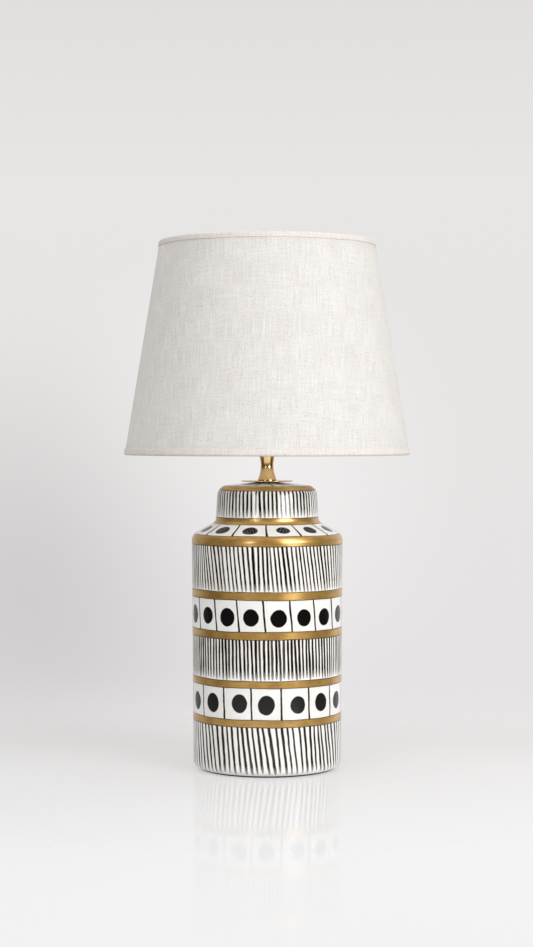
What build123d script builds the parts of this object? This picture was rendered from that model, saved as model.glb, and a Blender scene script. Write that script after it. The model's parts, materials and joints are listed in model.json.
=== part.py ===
from build123d import *
from math import atan2, hypot, pi, radians, sqrt, tan
import os

# A ceramic table lamp, in millimetres. The origin is the middle of the underside and +Z is up.
# The front faces -Y, the cord inlet is at the back, and the harp stands across X.

# Clearances, each on one side
thread_gap = 0.05  # round a screwed or pressed fit, drawn as plain cylinders
slip_gap = 0.2  # round a piece that slips over another
glue_gap = 0.05  # between layers that are stuck together
shaft_gap = 0.08  # round a turning shaft
running_gap = 0.3  # between pieces that move past each other

# Felt pad and ceramic jar
pad_thickness = 1.5
pad_setback = 0.3
body_radius_low = 78.7
body_radius_high = 80.4
body_height = 247.0
foot_rounding = 7.0
shoulder_rise = 13.6
shoulder_rounding = 10.0
collar_radius_low = 55.0
collar_radius_high = 52.8
collar_height = 37.7
collar_root_rounding = 6.0
collar_rounding = 11.0
dome_rise = 4.4
crown_radius = 15.0
jar_wall = 6.0
cavity_rounding = 4.0
foot_ring_width = 14.0
recess_depth = 24.0
floor_thickness = 7.0

# Cord bushing at the back of the foot
bushing_bore = 3.6
bushing_wall = 1.4
bushing_lip_width = 2.5
bushing_lip_thickness = 2.0
bushing_tail = 2.0

# Threaded pipe and the clamping stack below the jar's floor
pipe_radius = 4.85
pipe_bore = 3.5
pipe_tail = 3.0
pipe_hole_gap = 2.0
foot_gasket_radius = 22.0
foot_gasket_thickness = 2.0
foot_washer_radius = 20.0
foot_washer_thickness = 2.0
lock_washer_radius = 8.5
lock_washer_thickness = 1.6
lock_washer_split = 1.5
nut_across_flats = 14.3
nut_chamfer = 0.6
foot_nut_height = 5.0

# Metalwork on the crown
crown_gasket_radius = 13.0
crown_gasket_thickness = 0.6
vase_cap_radius = 27.7
vase_cap_thickness = 1.0
vase_cap_edge_share = 0.4
neck_height = 31.4
neck_foot_radius = 10.1
neck_foot_band = 1.0
neck_waist_height = 15.8
neck_waist_wall = 1.75
neck_lip_radius = 10.0
neck_lip_band = 1.6
check_ring_overhang = 1.2
check_ring_thickness = 2.0

# Harp saddle and its nut
saddle_thickness = 2.0
saddle_width = 12.0
saddle_hub_radius = 13.0
saddle_bend = 4.0
saddle_arm_height = 10.0
leg_spread = 29.0
saddle_nut_height = 3.0

# Harp, its half-lapped legs and the ferrules that lock them
wire_radius = 2.0
lap_stub = 4.0
lap_length = 10.0
ferrule_wall = 1.1
ferrule_overlap = 4.0
ferrule_travel = 15.0
harp_rise = 197.3
harp_half_width = 52.0
harp_top_flat = 16.0
harp_bend = 60.0
harp_bend_room_share = 1 / 3
harp_flare_share = 0.6
boss_radius = 7.0
boss_height = 5.0
stud_radius = 3.15
stud_shank_radius = 2.5
stud_flange_radius = 8.0
stud_flange_thickness = 2.0
stud_rivet_radius = 4.5
stud_rivet_thickness = 1.2
stud_engagement = 6.0

# Bulb, from the contact at its tip
bulb_length = 106.0
bulb_radius = 30.0
bulb_belt = 14.0
bulb_taper = 29.0
bulb_flare_rounding = 25.0
glass_wall = 0.9
tip_radius = 4.6
tip_height = 2.0
insulator_height = 4.0
insulator_step = 1.7
screw_cap_radius = 13.1
screw_cap_wall = 0.5
screw_cap_height = 18.0
screw_cap_lip = 1.5

# Lamp socket
socket_thread_gap = 0.4
screw_shell_wall = 0.5
screw_shell_height = 21.0
contact_span = 10.0
contact_rise = 2.4
contact_width = 5.0
contact_thickness = 0.6
contact_gap = 0.9
socket_body_margin = 1.0
socket_body_height = 18.0
socket_wiring_room = 7.5
socket_sleeve_wall = 0.7
socket_shell_wall = 0.6
socket_shell_seat = 2.0
socket_cap_wall = 0.8
socket_rim_height = 7.6
socket_hub_wall = 3.2
socket_hub_height = 8.0
socket_bowl_rise = 4.0
set_screw_radius = 1.5
set_screw_head_radius = 2.3
set_screw_head_height = 1.8
terminal_screw_radius = 1.4
terminal_head_radius = 2.8
terminal_head_height = 1.8
terminal_flat_depth = 3.2

# Turn switch
switch_shaft_radius = 2.0
switch_shaft_depth = 7.0
switch_slot_gap = 2.0
knob_stand_off = 1.5
knob_length = 13.0
knob_radius = 5.2
knob_socket_depth = 9.0
knob_flutes = 10
knob_flute_radius = 0.9

# Spider frame and shade
spider_washer_radius = 11.0
spider_washer_thickness = 2.0
spider_arms = 3
arm_wire_radius = 1.5
arm_bend = 9.0
ring_wire_radius = 1.6
spider_recess = 17.0
shade_height = 227.0
linen_radius_low = 151.6
linen_radius_high = 114.1
linen_thickness = 0.5
liner_thickness = 0.5
trim_thickness = 0.8
top_trim_height = 6.0
bottom_trim_height = 7.4
trim_tuck = 1.0

# Finial
finial_bore_end = 0.8
finial_end_wall = 1.2
finial_foot_radius = 7.4
finial_foot_height = 2.6
finial_neck_radius = 4.6
finial_edge = 1.0
finial_knob_height = 8.0
finial_knob_radius = 5.6
finial_knob_round_share = 0.45

# Share of a short side that the roundings at its two ends may take
rounding_room = 0.99

FROM_BASE = (Align.CENTER, Align.CENTER, Align.MIN)

# Heights of the stack, from the table upwards
shoulder_z = pad_thickness + body_height
collar_root_z = shoulder_z + shoulder_rise
collar_top_z = collar_root_z + collar_height
crown_z = collar_top_z + dome_rise
recess_top_z = pad_thickness + recess_depth
floor_top_z = recess_top_z + floor_thickness
foot_washer_top_z = recess_top_z - foot_gasket_thickness
lock_washer_top_z = foot_washer_top_z - foot_washer_thickness
foot_nut_top_z = lock_washer_top_z - lock_washer_thickness
pipe_low_z = foot_nut_top_z - foot_nut_height - pipe_tail
vase_cap_z = crown_z + crown_gasket_thickness
neck_z = vase_cap_z + vase_cap_thickness
check_ring_z = neck_z + neck_height
saddle_z = check_ring_z + check_ring_thickness
saddle_nut_z = saddle_z + saddle_thickness
socket_z = saddle_nut_z + saddle_nut_height
set_screw_z = socket_z + socket_hub_height / 2
bowl_z = socket_z + socket_hub_height
hub_top_z = bowl_z + socket_cap_wall
bowl_top_z = bowl_z + socket_bowl_rise
socket_cap_top_z = bowl_top_z + socket_rim_height
socket_shell_z = bowl_top_z + socket_shell_seat
socket_body_z = hub_top_z + socket_wiring_room
socket_body_top_z = socket_body_z + socket_body_height
screw_shell_top_z = socket_body_top_z + screw_shell_height
socket_shell_top_z = screw_shell_top_z + socket_sleeve_wall
switch_z = socket_body_z + socket_body_height / 2
bulb_tip_z = socket_body_top_z + contact_rise + running_gap
lap_z = saddle_z + saddle_arm_height + lap_stub
lap_top_z = lap_z + lap_length
ferrule_z = saddle_z + saddle_arm_height
ferrule_top_z = lap_top_z + ferrule_overlap
harp_top_z = saddle_z + harp_rise
flange_z = harp_top_z + boss_height / 2
spider_z = flange_z + stud_flange_thickness
finial_z = spider_z + spider_washer_thickness
finial_knob_z = finial_z + stud_engagement + finial_bore_end + finial_end_wall
shade_top_z = finial_z + spider_recess
shade_z = shade_top_z - shade_height

# Radii that follow from what passes through or fits inside
foot_flat_radius = body_radius_low - foot_rounding
recess_radius = body_radius_low - foot_ring_width
pipe_hole_radius = pipe_radius + pipe_hole_gap
pipe_slip_radius = pipe_radius + slip_gap
pipe_thread_radius = pipe_radius + thread_gap
stud_thread_radius = stud_radius + shaft_gap
screw_shell_inner = screw_cap_radius + socket_thread_gap
screw_shell_outer = screw_shell_inner + screw_shell_wall
screw_shell_hole = hypot(contact_span, contact_width) / 2 + contact_gap
socket_body_radius = screw_shell_outer + socket_body_margin
sleeve_inner = socket_body_radius + slip_gap
sleeve_outer = sleeve_inner + socket_sleeve_wall
socket_shell_inner = sleeve_outer + thread_gap
socket_shell_outer = socket_shell_inner + socket_shell_wall
socket_cap_inner = socket_shell_outer + thread_gap
socket_cap_outer = socket_cap_inner + socket_cap_wall
socket_hub_radius = pipe_thread_radius + socket_hub_wall
terminal_face = socket_body_radius - terminal_flat_depth
terminal_reach = terminal_face / 2


def eased(corners):
    """The corners' roundings, each no larger than its two sides leave room for."""
    points = [Vector(across, up) for across, up, _ in corners]
    following = points[1:] + points[:1]
    sides = [end - start for start, end in zip(points, following)]
    takes = [
        rounding * tan(radians(sides[index - 1].get_angle(side)) / 2)
        for index, ((_, _, rounding), side) in enumerate(zip(corners, sides))
    ]
    shares = []
    for side, start_take, end_take in zip(sides, takes, takes[1:] + takes[:1]):
        room = rounding_room * side.length
        shares.append(min(1, room / (start_take + end_take)) if start_take + end_take else 1)
    limits = [min(before, after) for before, after in zip(shares[-1:] + shares, shares)]
    return [rounding * limit for (_, _, rounding), limit in zip(corners, limits)]


def outline(corners):
    """A flat face through corners, each given as (across, up, rounding)."""
    face = make_face(Polyline(*[(across, up) for across, up, _ in corners], close=True)).face()
    for (across, up, _), rounding in zip(corners, eased(corners)):
        if rounding:
            vertex = face.vertices().sort_by_distance((across, up, 0))[0]
            face = face.fillet_2d(rounding, [vertex])
    return face


def turned(*corners):
    """A solid of revolution about the lamp's axis, from corners (radius, height, rounding)."""
    return revolve(Plane.XZ * outline(corners), Axis.Z)


def washer(outer, inner, low, thickness):
    """A plain ring about the lamp's axis, standing on the height low."""
    ring = Cylinder(outer, thickness, align=FROM_BASE) - Cylinder(inner, thickness, align=FROM_BASE)
    return Pos(0, 0, low) * ring


def hex_nut(low, height):
    """A chamfered hexagon nut on the threaded pipe."""
    blank = extrude(RegularPolygon(nut_across_flats / 2, 6, major_radius=False), height)
    corner_radius = nut_across_flats / sqrt(3)
    barrel = chamfer(
        Cylinder(corner_radius, height, align=FROM_BASE).edges().filter_by(GeomType.CIRCLE), nut_chamfer
    )
    bore = Cylinder(pipe_thread_radius, height, align=FROM_BASE)
    return Pos(0, 0, low) * ((blank & barrel) - bore)


def rod(start, direction, radius, length):
    """A round bar from a point along a direction."""
    return Plane(origin=start, z_dir=direction) * Cylinder(radius, length, align=FROM_BASE)


def wire_along(path, radius):
    """A round wire that follows a path."""
    return sweep(Plane(origin=path @ 0, z_dir=path % 0) * Circle(radius), path=path)


def body_radius_at(height):
    """Radius of the jar's straight body at a height."""
    share = (height - pad_thickness) / body_height
    return body_radius_low + share * (body_radius_high - body_radius_low)


inlet_z = pad_thickness + recess_depth / 2
bushing_radius = bushing_bore + bushing_wall
bushing_lip_radius = bushing_radius + bushing_lip_width
bushing_face_y = max(body_radius_at(inlet_z + side * bushing_lip_radius) for side in (-1, 1))
bushing_end_y = sqrt(recess_radius**2 - bushing_lip_radius**2) - bushing_tail


def felt_pad():
    """A felt disc glued under the foot."""
    return Cylinder(foot_flat_radius - pad_setback, pad_thickness, align=FROM_BASE)


def ceramic_jar():
    """A hollow jar with a stepped collar, a domed crown and a recess under its floor."""
    outer = turned(
        (0, pad_thickness, 0),
        (body_radius_low, pad_thickness, foot_rounding),
        (body_radius_high, shoulder_z, shoulder_rounding),
        (collar_radius_low, collar_root_z, collar_root_rounding),
        (collar_radius_high, collar_top_z, collar_rounding),
        (crown_radius, crown_z, 0),
        (0, crown_z, 0),
    )
    slope = atan2(shoulder_rise, body_radius_high - collar_radius_low)
    drop = jar_wall * tan(pi / 4 - slope / 2)
    cavity = turned(
        (0, floor_top_z, 0),
        (body_radius_low - jar_wall, floor_top_z, cavity_rounding),
        (body_radius_high - jar_wall, shoulder_z - drop, cavity_rounding),
        (collar_radius_low - jar_wall, collar_root_z - drop, collar_root_rounding + jar_wall),
        (collar_radius_high - jar_wall, collar_top_z - jar_wall, cavity_rounding),
        (crown_radius, crown_z - jar_wall, 0),
        (0, crown_z - jar_wall, 0),
    )
    recess = Pos(0, 0, pad_thickness) * Cylinder(recess_radius, recess_depth, align=FROM_BASE)
    pipe_hole = Cylinder(pipe_hole_radius, crown_z, align=FROM_BASE)
    inlet = rod((0, 0, inlet_z), (0, 1, 0), bushing_radius + slip_gap, bushing_face_y)
    return outer - cavity - recess - pipe_hole - inlet


def cord_bushing():
    """A lipped bush through the back of the foot, which lines the cord's way out."""
    length = bushing_face_y - bushing_end_y
    barrel = rod((0, bushing_end_y, inlet_z), (0, 1, 0), bushing_radius, length)
    lip = rod((0, bushing_face_y, inlet_z), (0, 1, 0), bushing_lip_radius, bushing_lip_thickness)
    lip = fillet(lip.edges().group_by(Axis.Y)[-1], bushing_lip_thickness / 2)
    bore_length = length + bushing_lip_thickness
    return barrel + lip - rod((0, bushing_end_y, inlet_z), (0, 1, 0), bushing_bore, bore_length)


def lock_washer():
    """A spring washer, split on one side."""
    ring = washer(lock_washer_radius, pipe_slip_radius, foot_nut_top_z, lock_washer_thickness)
    split = Box(lock_washer_radius, lock_washer_split, lock_washer_thickness,
                align=(Align.MIN, Align.CENTER, Align.MIN))
    return ring - Pos(0, 0, foot_nut_top_z) * split


def vase_cap():
    """A flat brass disc with a rounded rim over the crown."""
    disc = washer(vase_cap_radius, pipe_slip_radius, vase_cap_z, vase_cap_thickness)
    rim = disc.edges().filter_by(GeomType.CIRCLE).group_by(SortBy.RADIUS)[-1]
    return fillet(rim, vase_cap_edge_share * vase_cap_thickness)


def neck():
    """A turned neck, narrow at its waist and flared to its foot and lip."""
    top_z = neck_z + neck_height
    waist = (pipe_slip_radius + neck_waist_wall, neck_z + neck_waist_height)
    foot = (neck_foot_radius, neck_z + neck_foot_band)
    lip = (neck_lip_radius, top_z - neck_lip_band)
    edge = Polyline(lip, (neck_lip_radius, top_z), (pipe_slip_radius, top_z),
                    (pipe_slip_radius, neck_z), (neck_foot_radius, neck_z), foot)
    lower = TangentArc(waist, foot, tangent=(0, -1))
    upper = TangentArc(waist, lip, tangent=(0, 1))
    return revolve(Plane.XZ * make_face([*edge.edges(), lower, upper]), Axis.Z)


def harp_saddle():
    """A U-shaped strip under the socket, with a half-round prong on each arm."""
    outside = leg_spread + saddle_thickness / 2
    inside = leg_spread - saddle_thickness / 2
    strip = outline([
        (-outside, ferrule_z, 0),
        (-outside, saddle_z, saddle_bend + saddle_thickness),
        (outside, saddle_z, saddle_bend + saddle_thickness),
        (outside, ferrule_z, 0),
        (inside, ferrule_z, 0),
        (inside, saddle_z + saddle_thickness, saddle_bend),
        (-inside, saddle_z + saddle_thickness, saddle_bend),
        (-inside, ferrule_z, 0),
    ])
    saddle = extrude(Plane.XZ * strip, saddle_width / 2, both=True)
    saddle += Pos(0, 0, saddle_z) * Cylinder(saddle_hub_radius, saddle_thickness, align=FROM_BASE)
    for side in (-1, 1):
        prong = rod((side * leg_spread, 0, ferrule_z), (0, 0, 1), wire_radius, lap_stub + lap_length)
        saddle += prong - lap_block(side, -1)
    return saddle - rod((0, 0, saddle_z), (0, 0, 1), pipe_slip_radius, saddle_thickness)


def lap_block(side, half):
    """The room of one half of a lapped leg: half 1 lies outside the leg's middle, -1 inside."""
    width = 2 * wire_radius
    block = Box(width, 2 * width, lap_length, align=(Align.MIN, Align.CENTER, Align.MIN))
    turn = 0 if side * half > 0 else 180
    return Pos(side * leg_spread, 0, lap_z) * Rot(0, 0, turn) * block


def socket_cap():
    """The socket's screwed hub and the bowl that holds its shell."""
    bend = socket_bowl_rise / 2
    cap = turned(
        (pipe_thread_radius, socket_z, 0),
        (socket_hub_radius, socket_z, 0),
        (socket_hub_radius, bowl_z, 0),
        (socket_cap_outer, bowl_top_z, bend),
        (socket_cap_outer, socket_cap_top_z, 0),
        (socket_cap_inner, socket_cap_top_z, 0),
        (socket_cap_inner, bowl_top_z + socket_cap_wall / 2, bend),
        (socket_hub_radius, hub_top_z, 0),
        (pipe_thread_radius, hub_top_z, 0),
    )
    return cap - rod((0, 0, set_screw_z), (0, 1, 0), set_screw_radius + thread_gap, socket_cap_outer)


def socket_set_screw():
    """The grub screw that locks the socket's hub on the pipe."""
    start = pipe_thread_radius + slip_gap
    shank = rod((0, start, set_screw_z), (0, 1, 0), set_screw_radius, socket_hub_radius - start)
    head = rod((0, socket_hub_radius, set_screw_z), (0, 1, 0), set_screw_head_radius, set_screw_head_height)
    slot = Pos(0, socket_hub_radius + set_screw_head_height, set_screw_z) * Box(
        2 * set_screw_head_radius, set_screw_head_height, set_screw_radius / 2
    )
    return shank + head - slot


def switch_slot():
    """The slot for the switch's shaft, open to the lower edge of what it cuts."""
    width = 2 * (switch_shaft_radius + switch_slot_gap)
    hole = rod((0, 0, switch_z), (0, -1, 0), width / 2, socket_cap_outer)
    drop = switch_z - socket_shell_z
    below = Pos(0, 0, switch_z) * Box(
        width, socket_cap_outer, drop, align=(Align.CENTER, Align.MAX, Align.MAX)
    )
    return hole + below


def socket_shell():
    """The socket's outer shell, slotted for the switch."""
    height = socket_shell_top_z - socket_shell_z
    return washer(socket_shell_outer, socket_shell_inner, socket_shell_z, height) - switch_slot()


def socket_sleeve():
    """A fibre sleeve that lines the shell."""
    height = screw_shell_top_z - socket_shell_z
    return washer(sleeve_outer, sleeve_inner, socket_shell_z, height) - switch_slot()


def socket_body():
    """The moulded body with the switch inside and a flat for each terminal."""
    body = Pos(0, 0, socket_body_z) * Cylinder(socket_body_radius, socket_body_height, align=FROM_BASE)
    for side in (-1, 1):
        room = Box(terminal_flat_depth, 2 * socket_body_radius, socket_body_height - contact_rise,
                   align=(Align.MIN, Align.CENTER, Align.MIN))
        turn = 0 if side > 0 else 180
        body -= Pos(side * terminal_face, 0, socket_body_z) * Rot(0, 0, turn) * room
        start = (side * (terminal_reach - running_gap), 0, switch_z)
        body -= rod(start, (side, 0, 0), terminal_screw_radius + thread_gap, socket_body_radius)
    shaft_room = switch_shaft_depth + running_gap
    hole = rod((0, shaft_room - socket_body_radius, switch_z), (0, -1, 0),
               switch_shaft_radius + shaft_gap, shaft_room)
    return body - hole


def terminal_screw(side):
    """A binding screw on one flat of the socket's body."""
    length = terminal_face - terminal_reach
    screw = rod((side * terminal_reach, 0, switch_z), (side, 0, 0), terminal_screw_radius, length)
    head = rod((side * terminal_face, 0, switch_z), (side, 0, 0), terminal_head_radius, terminal_head_height)
    slot = Pos(side * (terminal_face + terminal_head_height), 0, switch_z) * Box(
        terminal_head_height, 2 * terminal_head_radius, terminal_screw_radius / 2
    )
    return screw + head - slot


def screw_shell():
    """The threaded shell that takes the bulb, with a floor round the centre contact."""
    return turned(
        (screw_shell_hole, socket_body_top_z, 0),
        (screw_shell_outer, socket_body_top_z, 0),
        (screw_shell_outer, screw_shell_top_z, 0),
        (screw_shell_inner, screw_shell_top_z, 0),
        (screw_shell_inner, socket_body_top_z + screw_shell_wall, 0),
        (screw_shell_hole, socket_body_top_z + screw_shell_wall, 0),
    )


def centre_contact():
    """A sprung bridge under the bulb's tip."""
    low = socket_body_top_z
    high = low + contact_rise
    half = contact_span / 2
    ramp = contact_rise
    strip = outline([
        (-half, low, 0),
        (contact_thickness - half, low, 0),
        (contact_thickness + ramp - half, high - contact_thickness, 0),
        (half - contact_thickness - ramp, high - contact_thickness, 0),
        (half - contact_thickness, low, 0),
        (half, low, 0),
        (half - ramp, high, 0),
        (ramp - half, high, 0),
    ])
    return extrude(Plane.XZ * strip, contact_width / 2, both=True)


def switch_shaft():
    """The round shaft from the switch to its knob."""
    start = switch_shaft_depth - socket_body_radius
    end = -(socket_shell_outer + knob_stand_off + knob_socket_depth)
    return rod((0, start, switch_z), (0, -1, 0), switch_shaft_radius, start - end)


def switch_knob():
    """A fluted knob with a blind socket for its shaft."""
    face_y = -(socket_shell_outer + knob_stand_off)
    knob = rod((0, face_y, switch_z), (0, -1, 0), knob_radius, knob_length)
    knob = chamfer(knob.edges().group_by(Axis.Y)[0], knob_flute_radius)
    for index in range(knob_flutes):
        place = Pos(0, face_y, switch_z) * Rot(0, index * 360 / knob_flutes, 0) * Pos(knob_radius, 0, 0)
        knob -= place * rod((0, 0, 0), (0, -1, 0), knob_flute_radius, knob_length)
    return knob - rod((0, face_y, switch_z), (0, -1, 0), switch_shaft_radius + thread_gap, knob_socket_depth)


def harp_bow():
    """A bent wire loop that carries the shade, with half-lapped ends and a drilled boss on top."""
    waist_z = ferrule_top_z + ferrule_travel + harp_bend_room_share * harp_bend
    top_bend = harp_half_width - harp_top_flat / 2
    wide_z = waist_z + harp_flare_share * (harp_top_z - top_bend - waist_z)
    side = [
        (leg_spread, lap_z),
        (leg_spread, waist_z),
        (harp_half_width, wide_z),
        (harp_half_width, harp_top_z),
    ]
    points = [(-across, up) for across, up in side] + list(reversed(side))
    bends = [harp_bend, harp_bend, top_bend, top_bend, harp_bend, harp_bend]
    bow = wire_along(Plane.XZ * FilletPolyline(*points, radius=bends), wire_radius)
    bow -= lap_block(-1, 1) + lap_block(1, 1)
    boss_z = harp_top_z - boss_height / 2
    bow += Pos(0, 0, boss_z) * Cylinder(boss_radius, boss_height, align=FROM_BASE)
    return bow - Pos(0, 0, boss_z) * Cylinder(stud_shank_radius + slip_gap, boss_height, align=FROM_BASE)


def harp_stud():
    """The riveted stud on the harp: a flange that the shade rests on and a thread for the finial."""
    boss_z = flange_z - boss_height
    return turned(
        (0, boss_z - stud_rivet_thickness, 0),
        (stud_rivet_radius, boss_z - stud_rivet_thickness, 0),
        (stud_rivet_radius, boss_z, 0),
        (stud_shank_radius, boss_z, 0),
        (stud_shank_radius, flange_z, 0),
        (stud_flange_radius, flange_z, 0),
        (stud_flange_radius, spider_z, 0),
        (stud_radius, spider_z, 0),
        (stud_radius, finial_z + stud_engagement, 0),
        (0, finial_z + stud_engagement, 0),
    )


def ferrule(side):
    """A sleeve that slides down over a lapped leg and locks it."""
    bore = wire_radius + slip_gap
    tube = washer(bore + ferrule_wall, bore, ferrule_z, ferrule_top_z - ferrule_z)
    return Pos(side * leg_spread, 0, 0) * tube


def linen_radius_at(height):
    """Radius of the linen's outer face at a height."""
    share = (height - shade_z) / shade_height
    return linen_radius_low + share * (linen_radius_high - linen_radius_low)


cloth_z = shade_z + trim_thickness + glue_gap
cloth_top_z = shade_top_z - trim_thickness - glue_gap
ring_inset = trim_thickness + glue_gap + ring_wire_radius


def ring_radius_at(height):
    """Radius of a wire ring that lies against the shade's lining at a height."""
    layers = linen_thickness + glue_gap + liner_thickness + slip_gap
    narrowest = linen_radius_at(height + ring_wire_radius)
    return narrowest - layers - ring_wire_radius


def cone_wall(depth, thickness):
    """One layer of the shade's wall, a depth in from the linen's outer face."""
    low = linen_radius_at(cloth_z) - depth
    high = linen_radius_at(cloth_top_z) - depth
    return turned(
        (low, cloth_z, 0),
        (high, cloth_top_z, 0),
        (high - thickness, cloth_top_z, 0),
        (low - thickness, cloth_z, 0),
    )


def hem(edge_z, upwards, height):
    """Folded linen trim over one edge of the shade and the wire ring inside it."""
    def layer(depth, gap):
        level = edge_z - upwards * depth
        return linen_radius_at(level) + gap, level

    tuck_z = edge_z - upwards * (ring_inset + ring_wire_radius + trim_tuck)
    tuck = ring_radius_at(edge_z - upwards * ring_inset) - ring_wire_radius - glue_gap
    outside = glue_gap + trim_thickness
    return turned(
        (*layer(height, outside), 0),
        (*layer(0, outside), 2 * trim_thickness),
        (tuck - trim_thickness, edge_z, trim_thickness),
        (tuck - trim_thickness, tuck_z, 0),
        (tuck, tuck_z, 0),
        (tuck, edge_z - upwards * trim_thickness, 0),
        (*layer(trim_thickness, glue_gap), 0),
        (*layer(height, glue_gap), 0),
    )


def bottom_ring():
    """The wire ring inside the shade's lower hem."""
    level = shade_z + ring_inset
    return Pos(0, 0, level) * Torus(ring_radius_at(level), ring_wire_radius)


def spider_frame():
    """The shade's top ring, three cranked arms and the washer that hangs on the harp, welded."""
    ring_z = shade_top_z - ring_inset
    ring_radius = ring_radius_at(ring_z)
    middle_z = spider_z + spider_washer_thickness / 2
    frame = Pos(0, 0, ring_z) * Torus(ring_radius, ring_wire_radius)
    frame += washer(spider_washer_radius, stud_radius + slip_gap, spider_z, spider_washer_thickness)
    inner = (spider_washer_radius + stud_flange_radius) / 2
    route = FilletPolyline((inner, middle_z), (ring_radius, middle_z), (ring_radius, ring_z), radius=arm_bend)
    arm = wire_along(Plane.XZ * route, arm_wire_radius)
    for index in range(spider_arms):
        frame += Rot(0, 0, 90 + index * 360 / spider_arms) * arm
    return frame


def finial_base():
    """The finial's threaded foot."""
    bore_top = finial_z + stud_engagement + finial_bore_end
    return turned(
        (stud_thread_radius, finial_z, 0),
        (finial_foot_radius, finial_z, 0),
        (finial_foot_radius, finial_z + finial_foot_height, finial_edge),
        (finial_neck_radius, finial_z + finial_foot_height + finial_edge, finial_edge),
        (finial_neck_radius, finial_knob_z, 0),
        (0, finial_knob_z, 0),
        (0, bore_top, 0),
        (stud_thread_radius, bore_top, 0),
    )


def finial_knob():
    """The finial's turned knob."""
    high = finial_knob_z + finial_knob_height
    round_off = finial_knob_round_share * finial_knob_height
    return turned(
        (0, finial_knob_z, 0),
        (finial_knob_radius, finial_knob_z, round_off),
        (finial_knob_radius, high, round_off),
        (0, high, 0),
    )


def bulb_tip():
    """The solder contact at the bulb's end."""
    return turned(
        (0, bulb_tip_z, 0),
        (tip_radius, bulb_tip_z, tip_height / 2),
        (tip_radius, bulb_tip_z + tip_height, 0),
        (0, bulb_tip_z + tip_height, 0),
    )


insulator_z = bulb_tip_z + tip_height
screw_cap_z = insulator_z + insulator_height
screw_cap_top_z = screw_cap_z + screw_cap_height


def bulb_insulator():
    """The glass cone between the tip and the screw cap."""
    return turned(
        (0, insulator_z, 0),
        (tip_radius, insulator_z, 0),
        (screw_cap_radius - insulator_step, screw_cap_z, 0),
        (0, screw_cap_z, 0),
    )


def bulb_screw_cap():
    """The bulb's metal cap, open at the top for the glass."""
    inner = screw_cap_radius - screw_cap_wall
    return turned(
        (0, screw_cap_z, 0),
        (screw_cap_radius, screw_cap_z, screw_cap_wall),
        (screw_cap_radius, screw_cap_top_z, 0),
        (inner, screw_cap_top_z, 0),
        (inner, screw_cap_z + screw_cap_wall, 0),
        (0, screw_cap_z + screw_cap_wall, 0),
    )


def bulb_glass():
    """A hollow pear-shaped envelope whose neck stands in the cap."""
    neck_radius = screw_cap_radius - screw_cap_wall - slip_gap
    low = screw_cap_z + screw_cap_wall + screw_cap_lip
    high = bulb_tip_z + bulb_length
    belt_z = high - bulb_radius - bulb_belt

    def envelope(inset):
        return turned(
            (0, low + inset, 0),
            (neck_radius - inset, low + inset, 0),
            (neck_radius - inset, belt_z - bulb_taper, bulb_flare_rounding + inset),
            (bulb_radius - inset, belt_z, bulb_flare_rounding - inset),
            (bulb_radius - inset, high - inset, bulb_radius - inset),
            (0, high - inset, 0),
        )

    return envelope(0) - envelope(glass_wall)


pieces = {
    "felt_pad": felt_pad(),
    "ceramic_jar": ceramic_jar(),
    "cord_bushing": cord_bushing(),
    "threaded_pipe": washer(pipe_radius, pipe_bore, pipe_low_z, hub_top_z - pipe_low_z),
    "foot_gasket": washer(foot_gasket_radius, pipe_slip_radius, foot_washer_top_z, foot_gasket_thickness),
    "foot_washer": washer(foot_washer_radius, pipe_slip_radius, lock_washer_top_z, foot_washer_thickness),
    "foot_lock_washer": lock_washer(),
    "foot_nut": hex_nut(foot_nut_top_z - foot_nut_height, foot_nut_height),
    "crown_gasket": washer(crown_gasket_radius, pipe_slip_radius, crown_z, crown_gasket_thickness),
    "vase_cap": vase_cap(),
    "neck": neck(),
    "check_ring": washer(
        neck_lip_radius + check_ring_overhang, pipe_slip_radius, check_ring_z, check_ring_thickness
    ),
    "harp_saddle": harp_saddle(),
    "saddle_nut": hex_nut(saddle_nut_z, saddle_nut_height),
    "socket_cap": socket_cap(),
    "socket_set_screw": socket_set_screw(),
    "socket_shell": socket_shell(),
    "socket_sleeve": socket_sleeve(),
    "socket_body": socket_body(),
    "screw_shell": screw_shell(),
    "centre_contact": centre_contact(),
    "terminal_screw_live": terminal_screw(1),
    "terminal_screw_neutral": terminal_screw(-1),
    "switch_shaft": switch_shaft(),
    "switch_knob": switch_knob(),
    "harp_bow": harp_bow(),
    "harp_stud": harp_stud(),
    "ferrule_left": ferrule(-1),
    "ferrule_right": ferrule(1),
    "spider_frame": spider_frame(),
    "bottom_ring": bottom_ring(),
    "shade_liner": cone_wall(linen_thickness + glue_gap, liner_thickness),
    "shade_linen": cone_wall(0, linen_thickness),
    "top_trim": hem(shade_top_z, 1, top_trim_height),
    "bottom_trim": hem(shade_z, -1, bottom_trim_height),
    "finial_base": finial_base(),
    "finial_knob": finial_knob(),
    "bulb_tip": bulb_tip(),
    "bulb_insulator": bulb_insulator(),
    "bulb_screw_cap": bulb_screw_cap(),
    "bulb_glass": bulb_glass(),
}

os.makedirs("parts", exist_ok=True)
for name, shape in pieces.items():
    export_step(shape, f"parts/{name}.step")
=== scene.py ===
import json
from functools import partial, reduce
from itertools import accumulate
from math import atan, atan2, cos, degrees, hypot, inf, pi, radians, sin, tan

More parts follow.
